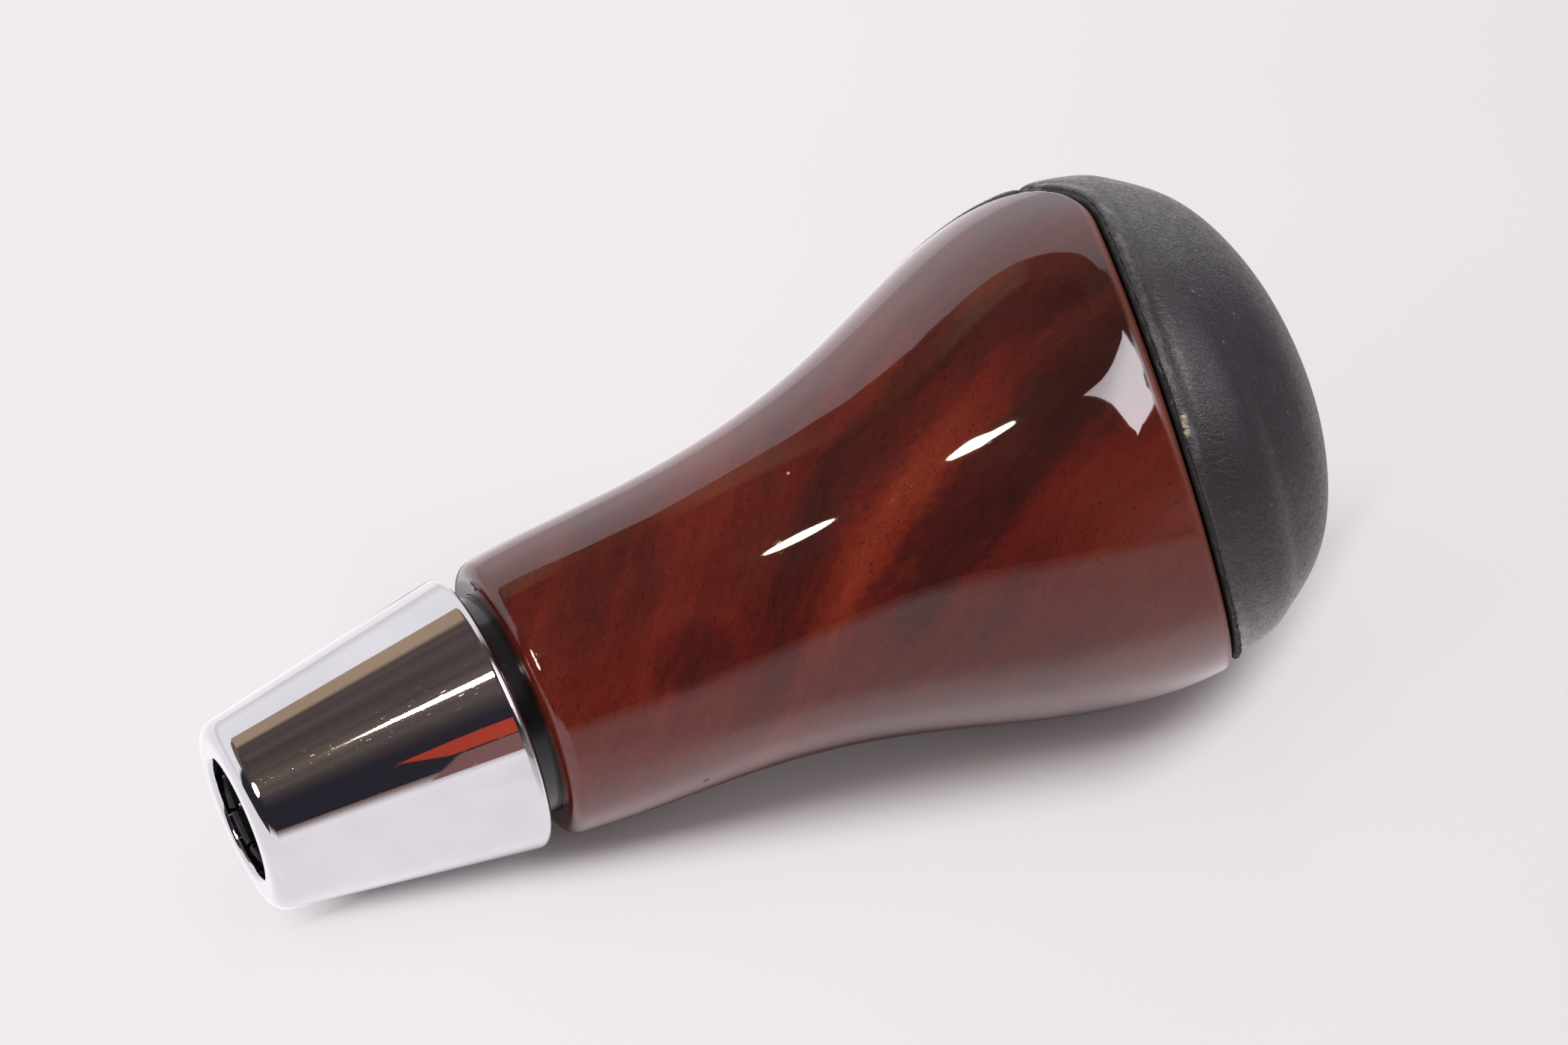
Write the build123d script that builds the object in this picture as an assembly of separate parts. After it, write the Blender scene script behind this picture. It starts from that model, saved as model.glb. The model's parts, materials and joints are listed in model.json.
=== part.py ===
from build123d import *
from math import cos, hypot, radians, sin, tan
import os

# Gear shift knob: lacquered wood grip, leather top and rear strip, sprung chrome collar.
# Millimetres. +Z runs up the lever into the knob, the leather strip faces +Y.
# The origin is the centre of the lever bore, where its plain wall starts above the mouth's chamfer.

# Lever and the sleeve that takes it
LEVER_D = 12.0
LEVER_FIT = 0.04
BORE_DEPTH = 42.0
INSERT_WALL = 1.85
INSERT_END = 2.0
BORE_CHAMFER = 0.5

# Spring fingers at the mouth of the sleeve
FINGER_COUNT = 4
FINGER_LENGTH = 13.0
FINGER_SLOT = 1.2
FINGER_FLARE = 0.8
FLARE_LAND = 1.2
FLARE_TAPER = 1.6
FLANGE_T = 1.2
FLANGE_STEP = 0.6

# Collar
COLLAR_LENGTH = 27.0
COLLAR_MOUTH_WALL = 0.66
COLLAR_RIM_WALL = 2.77
COLLAR_FLOOR = 1.4
COLLAR_NOSE_ROUND = 1.8
COLLAR_RIM_ROUND = 0.9
COLLAR_GUIDE = 1.8
COLLAR_TRAVEL = 1.8
END_PLAY = 0.4
HOLE_GAP = 0.2
POCKET_GAP = 0.2
SEAT_GAP = 0.15
SLIDE_FIT = 0.08

# Collar spring
WIRE_D = 1.0
SPRING_TURNS = 5
SPRING_GAP = 0.5

# Wood grip: each ring's rise and growth count from the ring below, shifts are towards the rear
RIM_GAP = 2.1
RIM_STEP = 0.15
RIM_ROUND = 1.5
NECK_RISE = 9.0
NECK_GROW = 0.85
WAIST_RISE = 15.4
WAIST_GROW = 1.15
SWELL_RISE = 13.9
SWELL_GROW = 3.1
SHOULDER_RISE = 12.3
SHOULDER_GROW = 4.1
SHOULDER_SHIFT = 1.3
HEAD_RISE = 11.8
HEAD_GROW = 2.45
HEAD_SHIFT = 2.75
BROW_RISE = 6.2
BROW_DRAW = 0.35
BROW_SHIFT = 2.9
CHEEK_RISE = 5.2
CHEEK_DRAW = 2.3
CHEEK_SHIFT = 3.5
CHEEK_LEAN = 34.5
DOME_SIDE_RISE = 5.3
DOME_SIDE_DRAW = 4.35
DOME_CROWN_RISE = 2.7
DOME_CROWN_DRAW = 4.85
DOME_TOP_RISE = 1.5
WOOD_WALL = 3.4
WOOD_EDGE_ROUND = 0.9

# Joint between wood and leather: its height on the lever axis is above the head's widest ring
JOINT_RISE = 6.55
JOINT_TILT = 11.1
STRIP_TOP_Y = 16.5
STRIP_END_Y = 8.75
STRIP_END_H = 20.0
STRIP_END_ROUND = 5.5
CORNER_ROUND = 14.0
SEAM_DROP = 2.55
SEAM_GAP = 0.4
GROOVE = 0.3

# Leather, foam and their carriers
LEATHER_T = 1.2
LEATHER_PROUD = 0.25
FOAM_T = 2.4
CARRIER_T = 2.4
HEM_W = 4.0
FOAM_GAP = 0.2
BOND = 0.05

# Core moulding
CORE_NECK_R = 11.2
CORE_NECK_TOP_H = 14.0
NECK_ENGAGED = 7.0
CORE_WALL = 3.0
CORE_RIB = 1.8
CORE_RIBS = 3
CORE_FLOOR_H = 43.0
SPIGOT_H = 5.0
SPIGOT_FIT = 0.1
SPIGOT_WALL = 2.0

# Sizes that follow from the ones above
bore_r = LEVER_D / 2 + LEVER_FIT
insert_r = bore_r + INSERT_WALL
flare_r = insert_r + FINGER_FLARE
pocket_r = flare_r + POCKET_GAP
collar_mouth_r = pocket_r + COLLAR_MOUTH_WALL
guide_r = insert_r + SLIDE_FIT
flare_slope = FLARE_TAPER / FINGER_FLARE
mouth_z = -BORE_CHAMFER
floor_z = mouth_z - COLLAR_TRAVEL - END_PLAY
collar_z = floor_z - COLLAR_FLOOR
collar_top_z = collar_z + COLLAR_LENGTH
seat_low_z = FLARE_LAND + SEAT_GAP - POCKET_GAP * flare_slope
seat_high_z = FLARE_LAND + FLARE_TAPER + SEAT_GAP - SLIDE_FIT * flare_slope
spring_foot_z = seat_high_z + COLLAR_GUIDE
neck_end_z = collar_top_z - NECK_ENGAGED
spring_head_z = neck_end_z - FLANGE_T
spring_r = insert_r + SPRING_GAP + WIRE_D / 2
spring_out_r = spring_r + WIRE_D / 2
chamber_r = spring_out_r + SPRING_GAP
neck_bore_r = CORE_NECK_R + SLIDE_FIT
collar_rim_r = neck_bore_r + COLLAR_RIM_WALL
neck_bore_z = neck_end_z - COLLAR_TRAVEL - END_PLAY
rim_z = collar_top_z + RIM_GAP
rim_r = collar_rim_r - RIM_STEP
neck_h = NECK_RISE
neck_r = rim_r + NECK_GROW
waist_h = neck_h + WAIST_RISE
waist_r = neck_r + WAIST_GROW
swell_h = waist_h + SWELL_RISE
swell_r = waist_r + SWELL_GROW
shoulder_h = swell_h + SHOULDER_RISE
shoulder_r = swell_r + SHOULDER_GROW
head_h = shoulder_h + HEAD_RISE
head_r = shoulder_r + HEAD_GROW
brow_h = head_h + BROW_RISE
brow_r = head_r - BROW_DRAW
cheek_h = brow_h + CHEEK_RISE
cheek_r = brow_r - CHEEK_DRAW
dome_side_h = cheek_h + DOME_SIDE_RISE
dome_side_r = cheek_r - DOME_SIDE_DRAW
dome_crown_h = dome_side_h + DOME_CROWN_RISE
dome_crown_r = dome_side_r - DOME_CROWN_DRAW
dome_h = dome_crown_h + DOME_TOP_RISE
top_z = rim_z + dome_h
joint_z = rim_z + head_h + JOINT_RISE
seam_z = joint_z - SEAM_DROP
span = 2 * (head_r + HEAD_SHIFT)
joint_slope = tan(radians(JOINT_TILT))


def disc(h, r, shift):
    return Pos(0, shift, rim_z + h) * Circle(r)


def inset_point(before, point, after, inset):
    # Moves a point of the dome's outline square to the line through its neighbours.
    dr, dh = after[0] - before[0], after[1] - before[1]
    size = hypot(dr, dh)
    return (point[0] - inset * dh / size, point[1] + inset * dr / size)


def dome(inset):
    cheek = (cheek_r, cheek_h)
    side = (dome_side_r, dome_side_h)
    crown = (dome_crown_r, dome_crown_h)
    top = (0.0, dome_h)
    low = (cheek_r - inset / cos(radians(CHEEK_LEAN)), rim_z + cheek_h)
    mid_r, mid_h = inset_point(cheek, side, crown, inset)
    high_r, high_h = inset_point(side, crown, top, inset)
    tip = (0, top_z - inset)
    slope = (-sin(radians(CHEEK_LEAN)), cos(radians(CHEEK_LEAN)))
    line = Spline(low, (mid_r, rim_z + mid_h), (high_r, rim_z + high_h), tip, tangents=(slope, (-1, 0)))
    outline = line + Line(tip, (0, low[1])) + Line((0, low[1]), low)
    return Pos(0, CHEEK_SHIFT, 0) * revolve(Plane.XZ * make_face(outline), Axis.Z)


def grip(inset):
    # The whole grip with its dome, drawn in by the given depth.
    rings = [
        disc(0, rim_r - inset, 0),
        disc(neck_h, neck_r - inset, 0),
        disc(waist_h, waist_r - inset, 0),
        disc(swell_h, swell_r - inset, 0),
        disc(shoulder_h, shoulder_r - inset, SHOULDER_SHIFT),
        disc(head_h, head_r - inset, HEAD_SHIFT),
        disc(brow_h, brow_r - inset, BROW_SHIFT),
        disc(cheek_h, cheek_r - inset / cos(radians(CHEEK_LEAN)), CHEEK_SHIFT),
    ]
    return loft(rings) + dome(inset)


def core_form(grow):
    # The outside of the core, carried on straight above the wood.
    rings = [
        disc(CORE_NECK_TOP_H, CORE_NECK_R + grow, 0),
        disc(swell_h, swell_r - WOOD_WALL + grow, 0),
        disc(shoulder_h, shoulder_r - WOOD_WALL + grow, SHOULDER_SHIFT),
        disc(head_h, head_r - WOOD_WALL + grow, HEAD_SHIFT),
    ]
    neck_top_z = rim_z + CORE_NECK_TOP_H
    neck = Pos(0, 0, neck_end_z) * extrude(Circle(CORE_NECK_R + grow), neck_top_z - neck_end_z)
    head = extrude(disc(head_h, head_r - WOOD_WALL + grow, HEAD_SHIFT), dome_h - head_h)
    return neck + loft(rings) + head


def above_joint(rise):
    # Everything above the tilted joint plane, raised by the given height.
    low = joint_z + rise
    corners = [
        (-span, low - joint_slope * span),
        (span, low + joint_slope * span),
        (span, low + 2 * span),
        (-span, low + 2 * span),
    ]
    return extrude(Plane.YZ * make_face(Polyline(*corners, close=True)), span, both=True)


def above_level(z):
    return Pos(0, 0, z) * Box(2 * span, 2 * span, span, align=(Align.CENTER, Align.CENTER, Align.MIN))


def below_seam(rise):
    # The rear half below the level of the leather seam, raised by the given height.
    low = (Align.CENTER, Align.MIN, Align.MAX)
    return Pos(0, 0, seam_z + rise) * Box(2 * span, span, 2 * span, align=low)


def leather_space(gap):
    # The room that the wood leaves for the top and the rear strip, less a gap all round.
    front = (-span, joint_z + gap - joint_slope * span)
    bend_y = STRIP_TOP_Y + gap
    bend = (bend_y, joint_z + gap + joint_slope * bend_y)
    end = (STRIP_END_Y + gap, rim_z + STRIP_END_H + gap)
    corners = [
        front,
        bend,
        end,
        (span, end[1]),
        (span, joint_z + 2 * span),
        (-span, joint_z + 2 * span),
    ]
    shape = make_face(Polyline(*corners, close=True))
    shape = fillet(shape.vertices().sort_by_distance(bend)[0], CORNER_ROUND + gap)
    shape = fillet(shape.vertices().sort_by_distance(end)[0], STRIP_END_ROUND - gap)
    return extrude(Plane.YZ * shape, span, both=True)


def make_insert():
    outline = Polyline(
        (bore_r + BORE_CHAMFER, mouth_z),
        (flare_r, mouth_z),
        (flare_r, FLARE_LAND),
        (insert_r, FLARE_LAND + FLARE_TAPER),
        (insert_r, spring_head_z),
        (spring_out_r + FLANGE_STEP, spring_head_z),
        (spring_out_r + FLANGE_STEP, neck_end_z),
        (insert_r, neck_end_z),
        (insert_r, BORE_DEPTH + INSERT_END),
        (0, BORE_DEPTH + INSERT_END),
        (0, BORE_DEPTH),
        (bore_r, BORE_DEPTH),
        (bore_r, 0),
        close=True,
    )
    body = revolve(Plane.XZ * make_face(outline), Axis.Z)
    slot = Box(2 * flare_r, FINGER_SLOT, FINGER_LENGTH, align=(Align.MIN, Align.CENTER, Align.MIN))
    for turn in PolarLocations(0, FINGER_COUNT):
        body -= turn * Pos(0, 0, mouth_z) * slot
    return body


def make_collar():
    outline = Polyline(
        (bore_r + HOLE_GAP, collar_z),
        (collar_mouth_r, collar_z),
        (collar_rim_r, collar_top_z),
        (neck_bore_r, collar_top_z),
        (neck_bore_r, neck_bore_z),
        (chamber_r, spring_foot_z),
        (guide_r, spring_foot_z),
        (guide_r, seat_high_z),
        (pocket_r, seat_low_z),
        (pocket_r, floor_z),
        (bore_r + HOLE_GAP, floor_z),
        close=True,
    )
    face = make_face(outline)
    nose = face.vertices().sort_by_distance((collar_mouth_r, collar_z))[0]
    face = fillet(nose, COLLAR_NOSE_ROUND)
    lip = face.vertices().sort_by_distance((bore_r + HOLE_GAP, collar_z))[0]
    face = fillet(lip, COLLAR_FLOOR / 3)
    rim = face.vertices().sort_by_distance((collar_rim_r, collar_top_z))[0]
    face = fillet(rim, COLLAR_RIM_ROUND)
    return revolve(Plane.XZ * face, Axis.Z)


def make_spring():
    rise = spring_head_z - spring_foot_z - WIRE_D
    path = Helix(pitch=rise / SPRING_TURNS, height=rise, radius=spring_r)
    path = Pos(0, 0, spring_foot_z + WIRE_D / 2) * path
    wire = Plane(origin=path @ 0, z_dir=path % 0) * RegularPolygon(WIRE_D / 2, 8)
    return sweep(wire, path=path, is_frenet=True)


def make_core():
    body = core_form(0) - above_joint(0)
    well = Pos(0, 0, neck_end_z) * extrude(Circle(insert_r + BOND), BORE_DEPTH + INSERT_END + BOND - neck_end_z)
    floor = above_level(rim_z + CORE_FLOOR_H)
    pocket = core_form(-CORE_WALL) & floor
    ribs = Part()
    for turn in PolarLocations(0, CORE_RIBS, angular_range=180):
        ribs += turn * Box(2 * span, CORE_RIB, 4 * span)
    ribs -= above_joint(-SPIGOT_H - END_PLAY)
    return body - well - (pocket - ribs)


def make_wood():
    shell = grip(0) - leather_space(0) - core_form(BOND)
    rim = shell.edges().group_by(Axis.Z)[0].sort_by(SortBy.LENGTH)[-1]
    shell = fillet(rim, RIM_ROUND)
    skin = shell.faces().sort_by(SortBy.AREA)[-1]
    above_rim = rim_z + 2 * RIM_ROUND
    edge = skin.edges().filter_by(lambda e: e.bounding_box().min.Z > above_rim)
    return fillet(edge, WOOD_EDGE_ROUND)


top_room = leather_space(GROOVE) - below_seam(SEAM_GAP / 2)
top_lining = leather_space(GROOVE + LEATHER_T) - below_seam(SEAM_GAP / 2 + LEATHER_T)
rear_room = leather_space(GROOVE) & below_seam(-SEAM_GAP / 2)
rear_lining = leather_space(GROOVE + LEATHER_T) & below_seam(-SEAM_GAP / 2 - LEATHER_T)
core_clear = core_form(BOND)


def make_top_leather():
    cover = (grip(-LEATHER_PROUD) & top_room) - (core_clear - above_joint(GROOVE))
    lining = grip(LEATHER_T - LEATHER_PROUD) & top_lining
    opening = core_form(WOOD_WALL - HEM_W) - above_joint(GROOVE + LEATHER_T + BOND)
    return cover - lining - opening


def make_cap_foam():
    depth = LEATHER_T - LEATHER_PROUD + BOND
    room = leather_space(GROOVE + LEATHER_T + BOND) - below_seam(SEAM_GAP / 2 + LEATHER_T + BOND)
    return (grip(depth) & room) - grip(depth + FOAM_T) - (core_clear - above_joint(GROOVE + LEATHER_T))


def make_cap_carrier():
    depth = LEATHER_T - LEATHER_PROUD + BOND + FOAM_T + FOAM_GAP
    seat = GROOVE + LEATHER_T + BOND
    plate_top = seat + CARRIER_T
    spigot_grow = -CORE_WALL - SPIGOT_FIT
    body = grip(depth) & above_joint(seat)
    body += (core_form(spigot_grow) & grip(depth) & above_joint(-SPIGOT_H)) - above_joint(seat)
    hollow = grip(depth + CARRIER_T) & above_joint(plate_top)
    opening = core_form(spigot_grow - SPIGOT_WALL) - above_joint(plate_top + CARRIER_T / 2)
    return body - hollow - opening


def make_rear_leather():
    cover = (grip(-LEATHER_PROUD) & rear_room) - core_clear
    return cover - (grip(LEATHER_T - LEATHER_PROUD) & rear_lining)


def make_rear_carrier():
    room = leather_space(GROOVE + LEATHER_T + BOND) & below_seam(-SEAM_GAP / 2 - LEATHER_T - BOND)
    return (grip(LEATHER_T - LEATHER_PROUD + BOND) & room) - core_clear


pieces = {
    "wood_shell": make_wood(),
    "core": make_core(),
    "lever_insert": make_insert(),
    "collar": make_collar(),
    "collar_spring": make_spring(),
    "top_leather": make_top_leather(),
    "cap_foam": make_cap_foam(),
    "cap_carrier": make_cap_carrier(),
    "rear_leather": make_rear_leather(),
    "rear_carrier": make_rear_carrier(),
}

os.makedirs("parts", exist_ok=True)
for name, piece in pieces.items():
    export_step(piece, f"parts/{name}.step")
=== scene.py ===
import json
from functools import reduce
from math import cos, radians, sin, tan

import bmesh
import bpy
import numpy as np
from mathutils import Matrix, Vector
from mathutils.geometry import interpolate_bezier


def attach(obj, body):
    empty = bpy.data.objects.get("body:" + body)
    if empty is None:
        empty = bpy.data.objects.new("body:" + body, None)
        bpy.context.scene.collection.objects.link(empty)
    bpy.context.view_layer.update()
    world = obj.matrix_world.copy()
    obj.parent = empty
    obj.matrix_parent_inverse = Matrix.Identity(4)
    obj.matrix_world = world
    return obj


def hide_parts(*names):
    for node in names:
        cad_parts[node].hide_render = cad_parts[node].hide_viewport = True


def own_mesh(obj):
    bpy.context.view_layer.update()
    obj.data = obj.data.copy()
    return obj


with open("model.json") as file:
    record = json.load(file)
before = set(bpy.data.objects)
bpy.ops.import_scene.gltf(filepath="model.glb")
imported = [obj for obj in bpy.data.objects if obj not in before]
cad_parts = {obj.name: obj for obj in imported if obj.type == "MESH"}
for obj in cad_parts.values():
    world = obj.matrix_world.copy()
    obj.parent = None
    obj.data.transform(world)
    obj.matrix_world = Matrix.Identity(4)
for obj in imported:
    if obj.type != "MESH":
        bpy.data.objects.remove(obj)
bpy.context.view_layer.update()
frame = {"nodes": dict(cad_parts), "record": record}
nodes = frame["nodes"]
scene = bpy.context.scene
scene.view_settings.view_transform = "Standard"

# Millimetres in a metre
MM = 1000.0

# Camera: where the knob lies in the picture

PICTURE_W = 2100
PICTURE_H = 1400
FOCAL_PX = 14000.0
SENSOR_MM = 36.0
CLIP_NEAR = 0.05
CLIP_FAR = 20.0
# The middle of the collar's mouth: in the picture, on the lever's axis and away from the camera
HOLE_PX = (316.5, 1099.0)
HOLE_Z = -0.0041
HOLE_DEPTH = 0.9952
# The lean of the lever's axis towards the camera, its rise in the picture and the knob's turn about it
LEAN = radians(12.5)
RISE = radians(23.05)
TURN = radians(245.0)


def place_camera():
    """Sets up the camera and returns the turn from its axes to the knob's."""
    along = Vector((cos(LEAN) * cos(RISE), cos(LEAN) * sin(RISE), -sin(LEAN)))
    across = Vector((-sin(RISE), cos(RISE), 0.0))
    nearer = Vector((sin(LEAN) * cos(RISE), sin(LEAN) * sin(RISE), cos(LEAN)))
    side = cos(TURN) * nearer + sin(TURN) * across
    rear = sin(TURN) * nearer - cos(TURN) * across
    seen = Matrix((side, rear, along)).transposed()
    hole = Vector(((HOLE_PX[0] - PICTURE_W / 2) / FOCAL_PX * HOLE_DEPTH,
                   (PICTURE_H / 2 - HOLE_PX[1]) / FOCAL_PX * HOLE_DEPTH, -HOLE_DEPTH))
    origin = hole - seen @ Vector((0.0, 0.0, HOLE_Z))
    turned = seen.transposed()
    data = bpy.data.cameras.new("photo_camera")
    data.sensor_width = SENSOR_MM
    data.lens = FOCAL_PX / PICTURE_W * SENSOR_MM
    data.clip_start = CLIP_NEAR
    data.clip_end = CLIP_FAR
    camera = bpy.data.objects.new("photo_camera", data)
    camera.matrix_world = Matrix.Translation(-(turned @ origin)) @ turned.to_4x4()
    scene.collection.objects.link(camera)
    scene.camera = camera
    return turned


to_knob = place_camera()

# Table: the knob lies on its collar's edge and on the swell of its head

TILT_LOW = radians(20.0)
TILT_HIGH = radians(60.0)
TILT_HALVINGS = 24


def lowest(name, up):
    return min(up.dot(v.co) for v in nodes[name].data.vertices)


def table_up(tilt):
    return to_knob @ Vector((0.0, cos(tilt), sin(tilt)))


def settle():
    """The table's upward direction when collar and wood both touch it."""
    low, high = TILT_LOW, TILT_HIGH
    for halving in range(TILT_HALVINGS):
        tilt = (low + high) / 2
        up = table_up(tilt)
        if lowest("collar", up) < lowest("wood_shell", up):
            low = tilt
        else:
            high = tilt
    return table_up((low + high) / 2)


UP = settle()
RIGHT = to_knob @ Vector((1.0, 0.0, 0.0))
FRONT = RIGHT.cross(UP)
TABLE_LEVEL = lowest("collar", UP)


def on_set(right, up, front):
    """A point of the studio: right, up and front of the knob's origin, from the table's face."""
    return RIGHT * right + UP * (TABLE_LEVEL + up) + FRONT * front


# Finishes: nodes written as expressions


class Wire:
    """An output of a node; arithmetic on it adds the Math node that does it."""

    def __init__(self, finish, socket):
        self.finish = finish
        self.socket = socket

    def math(self, operation, *values):
        return self.finish.node("ShaderNodeMath", {"operation": operation}, dict(enumerate(values)))

    def __add__(self, other):
        return self.math("ADD", self, other)

    def __radd__(self, other):
        return self.math("ADD", other, self)

    def __sub__(self, other):
        return self.math("SUBTRACT", self, other)

    def __rsub__(self, other):
        return self.math("SUBTRACT", other, self)

    def __mul__(self, other):
        return self.math("MULTIPLY", self, other)

    def __rmul__(self, other):
        return self.math("MULTIPLY", other, self)

    def __truediv__(self, other):
        return self.math("DIVIDE", self, other)

    def __rtruediv__(self, other):
        return self.math("DIVIDE", other, self)

    def __neg__(self):
        return self.math("MULTIPLY", self, -1.0)

    def abs(self):
        return self.math("ABSOLUTE", self)

    def least(self, other):
        return self.math("MINIMUM", self, other)

    def most(self, other):
        return self.math("MAXIMUM", self, other)


class Finish:
    """The node tree of one finish."""

    def __init__(self, tree):
        self.tree = tree
        tree.nodes.clear()

    def node(self, kind, settings=None, sockets=None, out=0):
        made = self.tree.nodes.new(kind)
        for key, value in (settings or {}).items():
            if key == "stops":
                self.set_stops(made.color_ramp, value)
            else:
                setattr(made, key, value)
        for key, value in (sockets or {}).items():
            if isinstance(value, Wire):
                self.tree.links.new(value.socket, made.inputs[key])
            else:
                made.inputs[key].default_value = value
        return Wire(self, made.outputs[out]) if made.outputs else None

    @staticmethod
    def set_stops(ramp, stops):
        while len(ramp.elements) < len(stops):
            ramp.elements.new(0.5)
        for element, (place, colour) in zip(ramp.elements, stops):
            element.position = place
            element.color = (*colour, 1.0)

    @staticmethod
    def paint(colour):
        """A plain colour as a socket takes it, or a wire as it is."""
        return (*colour, 1.0) if isinstance(colour, tuple) else colour

    def spot(self):
        return self.node("ShaderNodeTexCoord", out="Object")

    def ray(self, kind):
        """1 for light paths of one kind."""
        return self.node("ShaderNodeLightPath", out=kind)

    def parts(self, vector):
        split = self.node("ShaderNodeSeparateXYZ", None, {0: vector})
        outs = split.socket.node.outputs
        return [Wire(self, outs[i]) for i in range(3)]

    def stretched(self, ways, scales):
        """The place along three ways, each drawn out by its own scale."""
        measured = [way * scale for way, scale in zip(ways, scales)]
        return self.node("ShaderNodeCombineXYZ", None, dict(enumerate(measured)))

    def along(self, vector, direction):
        return self.node("ShaderNodeVectorMath", {"operation": "DOT_PRODUCT"},
                         {0: vector, 1: tuple(direction)}, out="Value")

    def noise(self, place, scale=1.0, detail=2.0, rough=0.5):
        return self.node("ShaderNodeTexNoise", None,
                         {"Vector": place, "Scale": scale, "Detail": detail, "Roughness": rough})

    def cells(self, place, scale=1.0, feature="F1"):
        return self.node("ShaderNodeTexVoronoi", {"feature": feature},
                         {"Vector": place, "Scale": scale}, out="Distance")

    def push(self, place, scale, reach):
        """The place moved about by a soft noise."""
        stir = self.node("ShaderNodeTexNoise", None,
                         {"Vector": place, "Scale": scale, "Detail": 2.0}, out="Color")
        return self.node("ShaderNodeVectorMath", {"operation": "MULTIPLY_ADD"},
                         {0: stir, 1: (reach,) * 3, 2: place})

    def far(self, place, point):
        """The distance from a point, in millimetres."""
        return self.node("ShaderNodeVectorMath", {"operation": "DISTANCE"},
                         {0: place, 1: tuple(p / MM for p in point)}, out="Value") * MM

    def fade(self, value, start, end):
        """0 at start, 1 at end, eased."""
        return self.node("ShaderNodeMapRange", {"interpolation_type": "SMOOTHSTEP", "clamp": True},
                         {"Value": value, "From Min": start, "From Max": end, "To Min": 0.0, "To Max": 1.0})

    def ramp(self, value, stops):
        return self.node("ShaderNodeValToRGB", {"stops": stops}, {0: value})

    def mix(self, share, first, second):
        return self.node("ShaderNodeMix", {"data_type": "RGBA"},
                         {0: share, 6: self.paint(first), 7: self.paint(second)}, out=2)

    def bump(self, height, distance, strength):
        return self.node("ShaderNodeBump", None,
                         {"Height": height, "Distance": distance, "Strength": strength})

    def principled(self, **sockets):
        named = {key.replace("_", " "): value for key, value in sockets.items()}
        return self.node("ShaderNodeBsdfPrincipled", None, named)

    def glow(self, colour):
        return self.node("ShaderNodeEmission", None, {"Color": self.paint(colour), "Strength": 1.0})

    def blend(self, share, first, second):
        return self.node("ShaderNodeMixShader", None, {0: share, 1: first, 2: second})

    def output(self, shader):
        self.node("ShaderNodeOutputMaterial", None, {"Surface": shader})


def new_finish(name):
    material = bpy.data.materials.new(name)
    material.use_nodes = True
    return material, Finish(material.node_tree)


def marks(f, spot, places, reach):
    """A mask of small ragged marks round a few places, in millimetres."""
    ragged = f.noise(spot, 2600.0, 3.0, 0.7) * reach * 1.3
    near = [f.fade(f.far(spot, place) + ragged, reach * 1.25, reach * 0.75) for place in places]
    return reduce(Wire.most, near)


# The edge of the wood in the side view, in metres: the tilted joint, then the rear opening
JOINT_Z = 0.09395
JOINT_TILT = radians(11.1)
JOINT_SLOPE = tan(JOINT_TILT)
JOINT_REACH = 0.06
GROOVE = 0.0003
BEND_Y = 0.0165
END_Y = 0.00875
END_Z = 0.0450
BEND_ROUND = 0.0140
END_ROUND = 0.0055
# The seam between the two leathers, and how far the head sits to the rear
SEAM_Z = 0.0914
SEAM_GAP = 0.0004
HEAD_SHIFT = 0.00275

# Lacquered walnut

# The seen side, towards the camera, and the way across it
VIEW_SIDE = Vector((cos(TURN), sin(TURN), 0.0))
VIEW_ACROSS = Vector((sin(TURN), -cos(TURN), 0.0))

# The flame of the veneer on the seen side, in millimetres: its middle line runs up and across, then flattens
FLAME_Z = 58.0
FLAME_ACROSS = -0.6
FLAME_SLOPE = 0.68
FLAME_BEND = 0.0055
FLAME_FOOT = 0.34
# The dark streaks beside it, as distances from the middle line: the upper one closes in, the lower one opens
STREAK_ABOVE = 8.1
STREAK_ABOVE_Z = 53.5
STREAK_CLOSE = 0.19
STREAK_BELOW = -6.0
STREAK_BELOW_Z = 60.0
STREAK_OPEN = 0.05
# A dark cloud low on the seen side: height, place across and half sizes
CLOUD_Z = 39.7
CLOUD_ACROSS = -2.7
CLOUD_TALL = 3.6
CLOUD_WIDE = 2.8
# Where each part of the figure is gone and where it is full: off its line, up the lever or across
FLAME_OFF = (3.8, 0.8)
FLAME_TOP = (86.0, 63.0)
FLAME_LOW = (49.0, 58.0)
ABOVE_OFF = (3.8, 0.6)
ABOVE_UP = (46.0, 56.0)
BELOW_OFF = (6.6, 1.8)
BELOW_UP = (55.0, 63.0)
TOP_UP = (68.0, 80.0)
TOP_ACROSS = (-1.0, 6.0)
FOOT_UP = (48.0, 40.0)
FOOT_ACROSS = (2.0, 6.0)
WARM_UP = (72.0, 82.0)
WARM_ACROSS = (2.0, -4.0)
WARM_FOOT_UP = (50.0, 40.0)
WARM_FOOT_ACROSS = (4.0, -3.0)
SEEN_DEEP = (-4.0, 8.0)
# The pale worn rim along the joint
RIM_OFF = (1.15, 0.3)
RIM_FRONT = (4.0, -2.0)
# Small marks of use
NICKS = ((12.4, -8.5, 39.8), (10.6, -10.6, 38.4))
NICK_R = 0.75
CHIPS = ((-14.8, -8.4, 55.6), (-9.5, -16.9, 63.0))
CHIP_R = 0.34

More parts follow.
